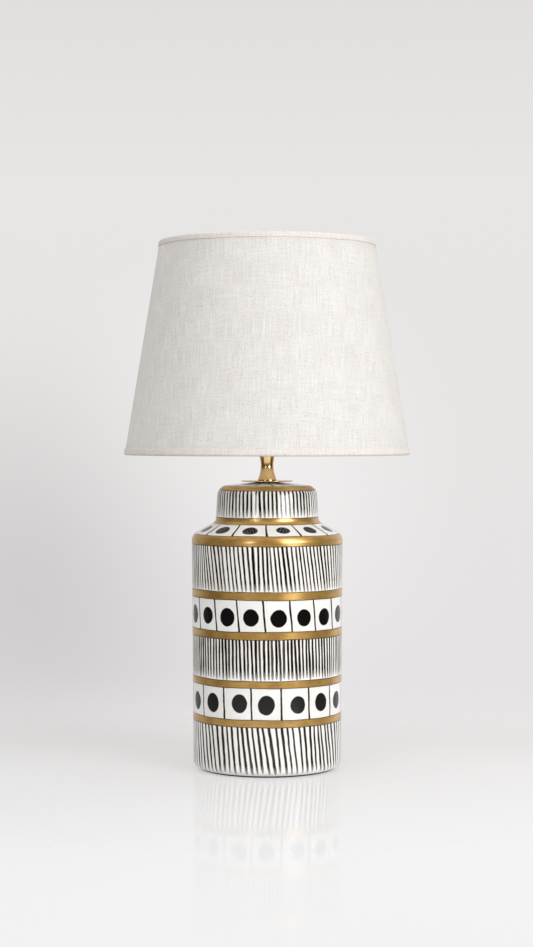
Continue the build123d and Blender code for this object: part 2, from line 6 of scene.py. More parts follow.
import bmesh
import bpy
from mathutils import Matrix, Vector


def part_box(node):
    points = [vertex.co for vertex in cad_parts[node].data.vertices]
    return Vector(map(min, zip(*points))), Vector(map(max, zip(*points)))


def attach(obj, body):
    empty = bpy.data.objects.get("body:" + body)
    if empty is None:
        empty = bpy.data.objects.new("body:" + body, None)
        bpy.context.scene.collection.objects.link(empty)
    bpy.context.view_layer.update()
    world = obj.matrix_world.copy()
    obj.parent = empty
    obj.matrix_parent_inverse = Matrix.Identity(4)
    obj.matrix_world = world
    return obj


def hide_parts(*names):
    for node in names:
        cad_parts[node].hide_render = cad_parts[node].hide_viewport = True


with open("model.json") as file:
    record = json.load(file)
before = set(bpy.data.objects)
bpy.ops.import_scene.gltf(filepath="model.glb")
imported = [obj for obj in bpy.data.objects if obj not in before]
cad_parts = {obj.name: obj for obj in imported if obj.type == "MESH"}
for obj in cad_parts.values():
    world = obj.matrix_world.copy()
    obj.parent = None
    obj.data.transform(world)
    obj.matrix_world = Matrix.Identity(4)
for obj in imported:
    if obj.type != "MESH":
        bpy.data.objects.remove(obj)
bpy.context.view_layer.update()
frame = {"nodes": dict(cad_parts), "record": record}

bl_info = {
    "name": "Painted jar lamp",
    "version": (1, 0, 0),
    "blender": (4, 5, 0),
    "location": "3D View > Sidebar > Lamp",
    "description": "Dresses the frame of a ceramic table lamp in painted glaze, brass and linen",
    "category": "Object",
}

MM = 0.001
TURN = 2 * pi
SLOT_OF = {row["node"]: row["material_slot"] for row in frame["record"]["subparts"]}
BODY_OF = {node: body for body, nodes in frame["record"]["behaviour"]["bodies"].items() for node in nodes}


def linear(hex_colour):
    """An sRGB hex colour as linear red, green, blue and alpha."""
    channels = [int(hex_colour[i:i + 2], 16) / 255 for i in (1, 3, 5)]
    return (*[c / 12.92 if c <= 0.04045 else ((c + 0.055) / 1.055) ** 2.4 for c in channels], 1.0)


# Properties

def length(name, description, millimetres):
    """A length that a user may change."""
    return bpy.props.FloatProperty(
        name=name, description=description, default=millimetres * MM, min=0.0,
        precision=4, unit="LENGTH", subtype="DISTANCE",
    )


def colour(name, description, hex_colour):
    """A colour that a user may change."""
    return bpy.props.FloatVectorProperty(
        name=name, description=description, default=linear(hex_colour), size=4,
        min=0.0, max=1.0, subtype="COLOR",
    )


def power(name, description, watts):
    """A light's power that a user may change."""
    return bpy.props.FloatProperty(
        name=name, description=description, default=watts, min=0.0, subtype="POWER")


class JarSizes(bpy.types.PropertyGroup):
    """The jar's outline, from the foot to the crown."""
    body_radius_low: length("Foot radius", "Radius of the body at its foot", 78.7)
    body_radius_high: length("Shoulder radius", "Radius of the body at its shoulder", 80.4)
    body_height: length("Body height", "Height of the straight body", 247.0)
    foot_rounding: length("Foot rounding", "Radius of the edge at the foot", 7.0)
    shoulder_rise: length("Shoulder rise", "Height of the sloping shoulder", 13.6)
    shoulder_rounding: length("Shoulder rounding", "Radius of the shoulder's edge", 10.0)
    collar_radius_low: length("Collar root radius", "Radius of the collar at its root", 55.0)
    collar_radius_high: length("Collar top radius", "Radius of the collar at its top", 52.8)
    collar_height: length("Collar height", "Height of the collar", 37.7)
    collar_root_rounding: length("Collar root rounding", "Radius of the hollow at the collar's root", 6.0)
    collar_rounding: length("Collar rounding", "Radius of the collar's upper edge", 11.0)
    crown_radius: length("Crown radius", "Radius of the flat crown", 15.0)
    wall: length("Wall", "Thickness of the fired clay", 6.0)
    recess_radius: length("Recess radius", "Radius of the recess under the foot", 64.7)
    recess_depth: length("Recess depth", "Depth of the recess under the foot", 24.0)
    floor_thickness: length("Floor", "Thickness of the floor over the recess", 7.0)
    pipe_hole_radius: length("Pipe hole", "Radius of the hole that the pipe passes through", 6.85)
    inlet: length("Inlet", "Radius of the hole that the cord bushing sits in", 5.2)


class JarPaint(bpy.types.PropertyGroup):
    """The jar's glaze, brushwork and gilding."""
    glaze: colour("Glaze", "White of the glaze", "#f5f4f2")
    glaze_warm: colour("Warm glaze", "Ivory where the glaze lies thicker", "#efede8")
    paint: colour("Paint", "Black of the brush strokes", "#080706")
    thin_paint: colour("Thin paint", "Brown-grey where the brush ran dry", "#5a5343")
    paint_edge: colour("Paint edge", "Olive brown at the edge of a stroke", "#86682f")
    gilding: colour("Gilding", "Gold of the painted bands", "#e8ba62")
    gilding_worn: colour("Thin gilding", "Darker gold in the brush's streaks", "#b08038")
    stroke_counts: bpy.props.IntVectorProperty(
        name="Strokes", description="Strokes round each row, from the foot up", size=4,
        default=(82, 119, 106, 74))
    dot_counts: bpy.props.IntVectorProperty(
        name="Dots", description="Dots round each row, from the foot up", size=3, default=(16, 18, 13))


class ShadeSizes(bpy.types.PropertyGroup):
    """The shade's cone and hems."""
    radius_low: length("Bottom radius", "Radius of the linen at its bottom edge", 151.6)
    radius_high: length("Top radius", "Radius of the linen at its top edge", 114.1)
    cloth: length("Linen thickness", "Thickness of the linen", 0.5)
    lining: length("Lining thickness", "Thickness of the styrene lining", 0.5)
    hem: length("Hem thickness", "Thickness of the folded hem", 0.8)
    seam: length("Seam", "Width of the lap where the linen meets itself", 9.0)


class ShadeCloth(bpy.types.PropertyGroup):
    """The linen's colours and threads."""
    light_thread: colour("Light thread", "Bleached flax", "#fcfbfa")
    dark_thread: colour("Dark thread", "Raw flax in the slubs", "#dad5d2")
    trim_thread: colour("Trim thread", "Bleached flax of the folded trims", "#fcf8f3")
    trim_slub: colour("Trim slub", "Raw flax in the slubs of the trims", "#dad2cb")
    fuzz: colour("Fuzz", "Loose fibres that catch the light from the side", "#b08a60")
    fleck: colour("Fleck", "Bits of stalk spun into the yarn", "#8a7763")
    thread: length("Thread", "Spacing of the threads", 1.2)
    slub: length("Slub", "Length of a thick place in a thread", 28.0)


class Studio(bpy.types.PropertyGroup):
    """The camera and the lights."""
    camera_distance: length("Camera distance", "From the lamp's axis", 2190.0)
    camera_height: length("Camera height", "Above the table", 355.5)
    camera_shift: length("Camera left", "How far the camera stands left of the lamp's axis", 0.75)
    camera_pitch: bpy.props.FloatProperty(
        name="Camera pitch", description="Downward tilt", default=radians(1.106), subtype="ANGLE")
    lens: bpy.props.FloatProperty(
        name="Lens", description="Focal length in millimetres", default=78.16, min=1.0,
        subtype="DISTANCE_CAMERA")
    key_power: power("Key light", "Power of the softbox on the right", 23.0)
    fill_power: power("Fill light", "Power of the softbox on the left", 4.7)
    room_light: bpy.props.FloatProperty(
        name="Room light", description="Strength of the light from all round", default=0.46, min=0.0)


# Mesh tools

def profile(bm, corners):
    """A chain of edges in the XZ plane through (radius, height) corners in metres, some with a rounding."""
    points = [Vector((radius, 0, height)) for radius, height, *_ in corners]
    verts = [bm.verts.new(point) for point in points]
    for start, end in zip(verts, verts[1:]):
        bm.edges.new((start, end))
    for i, (_, _, *rounding) in enumerate(corners):
        if any(rounding):
            bend = (points[i] - points[i - 1]).angle(points[i + 1] - points[i])
            bmesh.ops.bevel(
                bm, geom=[verts[i]], offset=rounding[0] * tan(bend / 2), offset_type="OFFSET",
                segments=max(3, round(degrees(bend) / 6)), profile=0.5, affect="VERTICES",
                clamp_overlap=False, material=-1,
            )
    chain, edge = [verts[0]], None
    while len(chain) == 1 or edge:
        edge = next((e for e in chain[-1].link_edges if e is not edge), None)
        if edge:
            chain.append(edge.other_vert(chain[-1]))
    return chain


def mark_run(chain, layer, unit):
    """Writes on each vertex of a chain how far along it lies, in a unit, and returns these distances."""
    steps = [(vert.co - before.co).length / unit for before, vert in zip(chain[:1] + chain, chain)]
    runs = list(accumulate(steps))
    for vert, run in zip(chain, runs):
        vert[layer] = run
    return runs


def spin_round(bm, steps=192):
    """Spins all of a bmesh's edges a full turn about the lamp's axis and closes the shape."""
    bmesh.ops.spin(
        bm, geom=bm.verts[:] + bm.edges[:], cent=(0, 0, 0), axis=(0, 0, 1), angle=TURN, steps=steps,
        use_merge=True)
    bmesh.ops.remove_doubles(bm, verts=bm.verts, dist=1e-6)
    bmesh.ops.recalc_face_normals(bm, faces=bm.faces)


def with_parts(faces):
    """Faces with their edges and vertices, as a cut takes them."""
    return list(dict.fromkeys(part for face in faces for part in (face, *face.edges, *face.verts)))


def new_object(name, data):
    """Makes an object and links it to the scene."""
    obj = bpy.data.objects.new(name, data)
    bpy.context.scene.collection.objects.link(obj)
    return obj


def mesh_object(name, bm, material):
    """Makes an object of a bmesh."""
    mesh = bpy.data.meshes.new(name)
    bm.to_mesh(mesh)
    bm.free()
    mesh.materials.append(material)
    return new_object(name, mesh)


def piece(name, bm, node, material, crease=35):
    """Makes an object of a bmesh that stands for a CAD node and rides on its body."""
    obj = mesh_object(name, bm, material)
    obj.data.shade_smooth()
    obj.data.set_sharp_from_angle(angle=radians(crease))
    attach(obj, BODY_OF[node])
    return obj


# Material tools

# The setting that a mode named after a node's kind goes to.
MODES = {
    "Math": "operation", "VectorMath": "operation", "Mix": "data_type", "MapRange": "interpolation_type",
    "TexNoise": "noise_dimensions", "TexWhiteNoise": "noise_dimensions",
}
EASE = "MapRange SMOOTHSTEP"


def add(tree, kind, *inputs, **named):
    """Adds a node with its settings, and feeds its inputs with values, sockets or other nodes.

    The kind may end with the node's mode, and capitals alone are the mode of a Math node. Inputs fill the
    sockets in use in order. A name with a capital is a socket, with _ for a space, and others are settings.
    """
    kind, _, mode = ("Math " + kind if kind.isupper() else kind).partition(" ")
    node = tree.nodes.new(kind if kind.startswith("NodeGroup") else "ShaderNode" + kind)
    if mode:
        setattr(node, MODES[kind], mode)
    for name, value in named.items():
        if name[0].islower():
            setattr(node, name, value)
    fed = list(zip([socket for socket in node.inputs if socket.enabled], inputs))
    fed += [(node.inputs[name.replace("_", " ")], named[name]) for name in named if name[0].isupper()]
    for socket, value in fed:
        if isinstance(value, bpy.types.Node):
            value = next(output for output in value.outputs if output.enabled)
        if isinstance(value, bpy.types.NodeSocket):
            tree.links.new(value, socket)
        else:
            socket.default_value = value
    return node


def fresh_nodes(block):
    """Empties the node tree of a material, world or light, and gives what adds nodes to it."""
    block.use_nodes = True
    block.node_tree.nodes.clear()
    return partial(add, block.node_tree)


def surface(name):
    """A new material with an empty node tree, and what adds nodes to it."""
    material = bpy.data.materials.new(name)
    return material, fresh_nodes(material)


def row_group(name, inputs, outputs):
    """An empty node group with number sockets, what adds nodes to it, and its input sockets."""
    tree = bpy.data.node_groups.new(name, "ShaderNodeTree")
    for sockets, in_out in ((inputs, "INPUT"), (outputs, "OUTPUT")):
        for socket in sockets.split():
            tree.interface.new_socket(socket, in_out=in_out, socket_type="NodeSocketFloat")
    put = partial(add, tree)
    return tree, put, put("NodeGroupInput").outputs


def every(millimetres):
    """The scale of a pattern whose marks are this far apart."""
    return 1 / (millimetres * MM)


# Jar

# How far apart the marks of the painter's hand and of the glaze are, in mm.
WANDER_MM = 16.0
BRUSH_HAIR_MM = 2.5
HAND_MM = 60.0
STEERING_MM = 30.0
POOL_MM = 35.0
RIPPLE_MM = 14.0
DRY_HAIR_MM = (2.2, 2.2, 22.0)
GILT_STREAK_MM = (60.0, 60.0, 0.9)
GILT_PATCH_MM = 16.0


def wandering(put, detail):
    """A place on the jar, and how far the brush has wandered off there, three times over."""
    place = put("TexCoord").outputs["Object"]
    wander = put("TexNoise", place, every(WANDER_MM), detail)
    return place, put("SeparateColor", wander.outputs["Color"]).outputs


def cells(put, along, count, seed):
    """Cells of a row round the jar: how far across its cell a place lies, and the cell's dice."""
    cell = put("FLOOR", along)
    across = put("FRACT", along)
    cell = put("FLOORED_MODULO", cell, count)
    dice = put("TexWhiteNoise 1D", put("ADD", cell, seed))
    return across, dice, put("SeparateColor", dice.outputs["Color"]).outputs


def stroke_row():
    """A row of upright strokes: the distance to the paint's edge in mm, negative inside, and its load."""
    tree, put, given = row_group(
        "Row of brush strokes", "Turn Run Count Cell Low High Lean Share Tail Seed", "Distance Load")
    turn, run, count, cell, low, high, lean, share, droop, seed, *_ = given
    place, drift = wandering(put, 1.0)
    hair = put("TexNoise", place, every(BRUSH_HAIR_MM), 2.0)
    # the painter's hand leans more in some places round the jar than in others
    hand = put("CombineXYZ", 3.7, 1.3, seed)
    hand = put("Mapping", place, Location=hand, Scale=(every(HAND_MM), every(HAND_MM), 0.0))
    hand = put("TexNoise", hand, 1.0, 1.0)
    hand = put("MapRange", hand, 0.32, 0.68, 0.4, 1.6)
    leaned = put("MULTIPLY", put("SUBTRACT", run, low), lean)
    leaned = put("MULTIPLY", leaned, hand)
    along = put("MULTIPLY_ADD", turn, count, leaned)
    along = put("MULTIPLY_ADD", drift[0], 0.22, along)
    across, dice, chance = cells(put, along, count, seed)
    # each stroke stands a little off the middle of its cell and leans its own way
    middle = put("MULTIPLY_ADD", chance[0], 0.16, 0.42)
    swing = put("MapRange", run, low, high, -0.1, 0.1)
    tilt = put("MapRange", chance[1], 0.0, 1.0, -1.0, 1.0)
    middle = put("MULTIPLY_ADD", swing, tilt, middle)
    off = put("ABSOLUTE", put("SUBTRACT", across, middle))
    # its width varies from stroke to stroke and along its length
    width = put("MapRange", chance[2], 0.0, 1.0, 0.2, 0.3)
    swell = put("MapRange", drift[1], 0.3, 0.7, 0.88, 1.12)
    width = put("MULTIPLY", put("MULTIPLY", width, swell), share)
    # the lower end thins out at its own height
    tail = put("MULTIPLY_ADD", chance[1], droop, low)
    tail_top = put("MULTIPLY_ADD", droop, 1.6, tail)
    thin = put("POWER", put("MapRange", run, tail, tail_top), 0.45)
    width = put("MULTIPLY", width, thin)
    gap = put("MULTIPLY", put("SUBTRACT", off, width), cell)
    gap = put("ADD", gap, put("MapRange", hair, 0.0, 1.0, -0.12, 0.12))
    outside = put("MAXIMUM", put("SUBTRACT", tail, run), put("SUBTRACT", run, high))
    gap = put("MAXIMUM", gap, outside)
    # the brush runs dry over a few strokes, and towards the end of each
    bold = put("MapRange", hand, 0.4, 1.6, 0.88, 1.0)
    load = put("MULTIPLY_ADD", dice, 0.5, bold, use_clamp=True)
    fade = put("MapRange", run, tail, put("ADD", tail, 9.0), 0.6, 1.0)
    load = put("MULTIPLY", load, fade)
    load = put("MAXIMUM", load, put("GREATER_THAN", outside, 0.0))
    put("NodeGroupOutput", gap, load)
    return tree


def dot_row():
    """A row of cells with a dot in each: the distances to the dot, the cell's line and its wash, in mm."""
    tree, put, given = row_group(
        "Row of dots", "Turn Run Count Cell Phase Low High Lean Width Height Drop Seed", "Dot Line Wash")
    turn, run, count, cell, phase, low, high, lean, width, height, drop, seed, *_ = given
    _, drift = wandering(put, 2.0)
    middle = put("MULTIPLY", put("ADD", low, high), 0.5)
    up = put("SUBTRACT", run, middle)
    along = put("MULTIPLY_ADD", turn, count, phase)
    across, _, chance = cells(put, along, count, seed)
    # a dot sits a little off its place and is never quite round
    x = put("ADD", across, put("MapRange", chance[0], 0.0, 1.0, -0.55, -0.45))
    x = put("DIVIDE", put("MULTIPLY", x, cell), width)
    y = put("ADD", up, drop)
    y = put("ADD", y, put("MapRange", chance[1], 0.0, 1.0, -0.8, 0.8))
    y = put("DIVIDE", y, height)
    size = put("MapRange", chance[2], 0.0, 1.0, 0.94, 1.07)
    gap = put("SUBTRACT", put("VectorMath LENGTH", put("CombineXYZ", x, y)), size)
    gap = put("MULTIPLY", gap, width)
    gap = put("ADD", gap, put("MapRange", drift[0], 0.3, 0.7, -0.45, 0.45))
    # the line between two cells leans with the brush
    leaned = put("MULTIPLY_ADD", up, lean, along)
    leaned = put("MULTIPLY_ADD", drift[1], 0.06, leaned)
    aside = put("PINGPONG", put("FRACT", leaned), 0.5)
    aside = put("MULTIPLY", aside, cell)
    line = put("SUBTRACT", aside, put("MapRange", drift[2], 0.3, 0.7, 0.65, 1.1))
    outside = put("MAXIMUM", put("SUBTRACT", low, run), put("SUBTRACT", run, high))
    line = put("MAXIMUM", line, outside)
    # a thinner wash stops short of the lines and bands round it
    wash = put("MAXIMUM", put("ADD", outside, 1.7), put("SUBTRACT", 3.0, aside))
    put("NodeGroupOutput", gap, line, wash)
    return tree


# Gilded bands as heights on the jar in mm, from the foot up. The last one ends on the dome, at a radius.
GILT_BANDS = ((53.0, 59.9), (93.4, 100.1), (143.4, 150.7), (184.2, 191.8), (239.5, 249.4), (260.8, 267.0))
TOP_BAND_LOW = 296.2
TOP_BAND_RADIUS = 45.2
FOOT_MARGIN = 3.2
# Rows of strokes, from the foot up: radius in mm, lean in degrees, share of a cell, tail in mm.
STROKES = ((79.0, 6.0, 0.76, 3.4), (79.5, 2.0, 1.06, 3.0), (80.2, 6.5, 0.84, 1.8), (53.5, 1.0, 0.82, 3.0))
# Thin lines on the dome, from below the last band to the disc.
DOME_LINES = {"Count": 14, "Cell": 16.0, "Lean": 0.004, "Share": 0.14, "Tail": 0.5, "Seed": 911.0}
DOME_FROM = -2
DOME_TO = 40
# Rows of dots: radius in mm, phase, lean in degrees, a dot's half width, half height and drop in mm.
DOTS = ((79.3, 0.5, 1.5, 8.2, 9.4, 0.6), (79.8, 0.08, 5.5, 8.4, 9.2, 1.6), (68.0, 0.0, 4.0, 7.6, 6.6, 0.2))


def painted_glaze(paint, run_at_height, run_at_radius):
    """Glazed earthenware, brush-painted under a clear glaze and gilded over it, then fired.

    The glass-smooth glaze mirrors its surroundings and pales towards the edges. The brushed
    black is even in the dots and thin at the strokes' ends, and the fired gold is satin.
    """
    material, put = surface("Glazed earthenware, painted and gilded")
    nearest = partial(put, "MINIMUM")
    place = put("TexCoord").outputs["Object"]
    x, y, _ = put("SeparateXYZ", place).outputs
    angle = put("ARCTAN2", x, put("MULTIPLY", y, -1.0))
    turn = put("MULTIPLY", angle, 1 / TURN)
    run = put("Attribute", attribute_name="glaze_run").outputs["Fac"]

    # rows of strokes and rows of dots take turns below the bands
    bands = [(run_at_height(low), run_at_height(high)) for low, high in GILT_BANDS]
    bands.append((run_at_height(TOP_BAND_LOW), run_at_radius(TOP_BAND_RADIUS)))
    lows, highs = zip(*bands)
    rows = list(zip((run_at_height(FOOT_MARGIN), *highs), lows))

    # the band's edge follows the brush
    unsteady = put("TexNoise", place, every(STEERING_MM), 2.0)
    steered = put("ADD", run, put("MapRange", unsteady, 0.0, 1.0, -0.7, 0.7))
    gilts = []
    for low, high in bands:
        off = put("ABSOLUTE", put("SUBTRACT", steered, (low + high) / 2))
        gilts.append(put("SUBTRACT", off, (high - low) / 2))
    gilt = reduce(nearest, gilts)

    # a thin dark line stands beside each band
    outline = put("ABSOLUTE", put("SUBTRACT", gilt, 0.3))
    inks = [put("SUBTRACT", outline, 0.28)]
    strokes, loads = stroke_row(), []
    for i, (low, high) in enumerate(rows[0::2]):
        radius, lean, share, tail = STROKES[i]
        count = paint.stroke_counts[i]
        cell = TURN * radius / count
        slant = tan(radians(lean)) / cell
        row = put("Group", turn, run, count, cell, low, high, slant, share, tail, 211.0 * i + 7.0,
                  node_tree=strokes)
        inks.append(row)
        loads.append(row.outputs["Load"])
    inks.append(put("Group", turn, run, Low=highs[-1] + DOME_FROM, High=highs[-1] + DOME_TO,
                    node_tree=strokes, **DOME_LINES))
    dots, spots, washes = dot_row(), [], []
    for i, (low, high) in enumerate(rows[1::2]):
        radius, phase, lean, width, height, drop = DOTS[i]
        count = paint.dot_counts[i]
        cell = TURN * radius / count
        slant = tan(radians(lean)) / cell
        row = put("Group", turn, run, count, cell, phase, low, high, slant, width, height, drop,
                  317.0 * i + 3.0, node_tree=dots)
        spots.append(row)
        inks.append(row.outputs["Line"])
        washes.append(row.outputs["Wash"])
    ink, load, spot, wash = [reduce(nearest, found) for found in (inks, loads, spots, washes)]

    # the brush leaves dry streaks, but not in the dots
    hairs = put("Mapping", place, Scale=[every(mm) for mm in DRY_HAIR_MM])
    dry = put("MapRange", put("TexNoise", hairs, 1.0, 2.0), 0.6, 0.95)
    dry = put("MULTIPLY", dry, put("GREATER_THAN", spot, ink))
    black = put("Mix RGBA", dry, paint.paint, paint.thin_paint)
    ink = nearest(ink, spot)
    # the gold thins out in the gilder's streaks, in patches and at the bands' edges
    streak = put("Mapping", place, Scale=[every(mm) for mm in GILT_STREAK_MM])
    streak = put("MapRange", put("TexNoise", streak, 1.0, 3.0), 0.3, 0.7)
    patch = put("TexNoise", place, every(GILT_PATCH_MM), 1.0)
    patch = put("MapRange", patch, 0.35, 0.65)
    worn = put("MULTIPLY", put("ADD", streak, patch), 0.48)
    worn = put("MAXIMUM", worn, put("MapRange", gilt, -2.2, 0.0, 0.0, 0.8))
    gold = put("Mix RGBA", worn, paint.gilding, paint.gilding_worn)

    # glaze, washes, olive rim, brushed black and gold, one over the other
    pool = put("TexNoise", place, every(POOL_MM), 2.0)
    pool = put("MapRange", pool, 0.35, 0.7)
    thin_wash = put("MapRange", wash, 0.15, -0.15, 0.0, 0.045)
    wash_edge = put("MapRange", put("ABSOLUTE", wash), 0.35, 0.1, 0.0, 0.16)
    rim = put("ABSOLUTE", put("SUBTRACT", ink, 0.1))
    rim = put("MapRange", rim, 0.45, 0.05, 0.0, 0.6)
    cover = put("MULTIPLY", put(EASE, ink, 0.2, -0.16), load)
    gilded = put(EASE, gilt, 0.1, -0.1)
    base = paint.glaze
    for share, tint in (
            (pool, paint.glaze_warm), (thin_wash, paint.thin_paint), (wash_edge, paint.thin_paint),
            (rim, paint.paint_edge), (cover, black), (gilded, gold)):
        base = put("Mix RGBA", share, base, tint)
    # the gold is thin enough for some of the light to scatter in it
    shine = put("MULTIPLY", gilded, 0.7)
    gloss = put("Mix", gilded, 0.06, put("MapRange", streak, 0.0, 1.0, 0.26, 0.36))
    # a clear glaze seals it
    sealed = put("MULTIPLY", gilded, 0.55)
    # the glaze is a little wavy, and the gold stands on it
    ripple = put("TexNoise", place, every(RIPPLE_MM), 1.0)
    relief = put("ADD", ripple, put(EASE, gilt, 0.3, -0.3, 0.0, 0.4))
    relief = put("Bump", Height=relief, Strength=0.5, Distance=0.06 * MM)
    put("OutputMaterial", put(
        "BsdfPrincipled", Base_Color=base, Metallic=shine, Roughness=gloss, IOR=1.58, Normal=relief,
        Coat_Weight=sealed, Coat_Roughness=0.2, Coat_IOR=1.8))
    return material


# How far outside the painted run the faces that show no paint are marked, in mm.
UNPAINTED = 10.0
INLET_SIDES = 8


class LAMP_OT_jar(bpy.types.Operator):
    """Turn the ceramic jar and paint it"""
    bl_idname = "lamp.jar"
    bl_label = "Ceramic jar"

    def execute(self, context):
        size = context.scene.lamp_jar
        wall, hole = size.wall, size.pipe_hole_radius
        low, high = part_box("ceramic_jar")
        foot_z, crown_z = low.z, high.z
        shoulder_z = foot_z + size.body_height
        root_z = shoulder_z + size.shoulder_rise
        collar_z = root_z + size.collar_height
        floor_z = foot_z + size.recess_depth
        bm = bmesh.new()
        run_of = bm.verts.layers.float.new("glaze_run")
        outside = profile(bm, (
            (size.recess_radius, foot_z),
            (size.body_radius_low, foot_z, size.foot_rounding),
            (size.body_radius_high, shoulder_z, size.shoulder_rounding),
            (size.collar_radius_low, root_z, size.collar_root_rounding),
            (size.collar_radius_high, collar_z, size.collar_rounding),
            (size.crown_radius, crown_z),
            (hole, crown_z),
        ))
        runs = mark_run(outside, run_of, MM)
        radii = [vert.co.x / MM for vert in outside]
        heights = [vert.co.z / MM for vert in outside]

        def run_where(marks, value, lowest=-inf):
            """Distance along the outline, from the foot, where its marks pass a value above some height."""
            for i, (start, end) in enumerate(zip(marks, marks[1:])):
                if start != end and min(start, end) <= value <= max(start, end) and heights[i] > lowest:
                    return runs[i] + (value - start) / (end - start) * (runs[i + 1] - runs[i])
            raise ValueError(f"the jar's outline never reaches {value} mm")

        inside = profile(bm, (
            (hole, crown_z),
            (hole, crown_z - wall),
            (size.collar_radius_high - wall, collar_z - wall),
            (size.collar_radius_low - wall, root_z - wall),
            (size.body_radius_high - wall, shoulder_z - wall),
            (size.body_radius_low - wall, floor_z + size.floor_thickness),
            (hole, floor_z + size.floor_thickness),
            (hole, floor_z),
            (size.recess_radius, floor_z),
            (size.recess_radius, foot_z),
        ))
        for vert in inside:
            vert[run_of] = runs[-1] + UNPAINTED if vert.co.z > floor_z else -UNPAINTED
        spin_round(bm)
        cut_inlet(bm, size.inlet)
        material = painted_glaze(
            context.scene.lamp_paint, partial(run_where, heights),
            partial(run_where, radii, lowest=TOP_BAND_LOW))
        jar = piece("jar", bm, "ceramic_jar", material, crease=40)
        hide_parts("ceramic_jar")
        dress("cord_bushing")
        return {"FINISHED"}


def cut_inlet(bm, radius):
    """Opens an eight-sided passage through the back of the foot, which the cord bushing's lip covers."""
    low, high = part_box("cord_bushing")
    centre = Vector((0, 0, (low.z + high.z) / 2))
    hole = []
    for face in bm.faces:
        middle = face.calc_center_median()
        heights = [vert.co.z for vert in face.verts]
        behind = middle.y > 0.9 * low.y and abs(middle.x) < 3 * radius
        if behind and min(heights) < centre.z < max(heights) + radius:
            hole.append(face)
    angles = [TURN * i / INLET_SIDES for i in range(INLET_SIDES)]
    sides = [Vector((cos(angle), 0, sin(angle))) for angle in angles]
    for side in sorted(sides, key=lambda side: -abs(side.z)):
        cut = bmesh.ops.bisect_plane(
            bm, geom=with_parts(hole), dist=1e-7, plane_co=centre + side * radius, plane_no=side)
        hole = [part for part in cut["geom"] if isinstance(part, bmesh.types.BMFace)
                and (part.calc_center_median() - centre).dot(side) < radius]
    bmesh.ops.delete(bm, geom=hole, context="FACES")
    bmesh.ops.bridge_loops(bm, edges=[edge for edge in bm.edges if edge.is_boundary])
    bmesh.ops.recalc_face_normals(bm, faces=bm.faces)


# Felt

FELT_ROUNDING_SHARE = 0.35


def pressed_felt():
    """Wool felt, pressed from matted fibres: dull, with a loose nap and no shine."""
    material, put = surface("Wool felt, pressed")
    place = put("TexCoord").outputs["Object"]
    fibre = put("TexNoise", place, every(0.8), 4.0, 0.7)
    shade = put("Mix RGBA", fibre, linear("#1c1916"), linear("#3a342e"))
    nap = put("Bump", Height=fibre, Strength=0.6, Distance=0.3 * MM)
    put("OutputMaterial", put(
        "BsdfPrincipled", Base_Color=shade, Roughness=0.95, Normal=nap, Sheen_Weight=0.3))
    return material


class LAMP_OT_felt_pad(bpy.types.Operator):
    """Cut the felt disc under the foot"""
    bl_idname = "lamp.felt_pad"
    bl_label = "Felt pad"

    def execute(self, context):
        low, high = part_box("felt_pad")
        edge = FELT_ROUNDING_SHARE * (high.z - low.z)
        bm = bmesh.new()
        profile(bm, ((0, low.z), (high.x, low.z, edge), (high.x, high.z, edge), (0, high.z)))
        spin_round(bm, steps=160)
        pad = piece("felt_disc", bm, "felt_pad", pressed_felt())
        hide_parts("felt_pad")
        return {"FINISHED"}


# Metals, mouldings, rubber and glass

def metal(name, tone, dull_tone, roughness, grain_mm, relief_mm, stretch=1.0):
    """A bare or plated metal whose finishing marks, grain_mm wide, break up its shine."""
    material, put = surface(name)
    place = put("TexCoord").outputs["Object"]
    fine = every(grain_mm)
    marks = put("Mapping", place, Scale=(fine / stretch, fine / stretch, fine))
    marks = put("TexNoise", marks, 1.0, 3.0)
    haze = put("TexNoise", place, every(9.0), 2.0)
    dull = put("MapRange", haze, 0.45, 0.75)
    base = put("Mix RGBA", dull, linear(tone), linear(dull_tone))
    gloss = put("MapRange", marks, 0.3, 0.7, 0.8 * roughness, 1.25 * roughness)
    relief = put("Bump", Height=marks, Strength=0.3, Distance=relief_mm * MM)
    put("OutputMaterial", put(
        "BsdfPrincipled", Base_Color=base, Metallic=1.0, Roughness=gloss, Normal=relief))
    return material


def moulding(name, tone, pale_tone, roughness, grain_mm, relief_mm, through=None, **shader_inputs):
    """A moulded or coated part with a faint skin texture, grain_mm wide, that may let light through."""
    material, put = surface(name)
    place = put("TexCoord").outputs["Object"]
    skin = put("TexNoise", place, every(grain_mm), 3.0)
    base = put("Mix RGBA", skin, linear(tone), linear(pale_tone))
    gloss = put("MapRange", skin, 0.3, 0.7, 0.85 * roughness, 1.15 * roughness)
    relief = put("Bump", Height=skin, Strength=0.4, Distance=relief_mm * MM)
    shader = put("BsdfPrincipled", Base_Color=base, Roughness=gloss, Normal=relief, **shader_inputs)
    if through:
        share, glow_tone = through
        shader = put("MixShader", share, shader, put("BsdfTranslucent", linear(glow_tone)))
    put("OutputMaterial", shader)
    return material


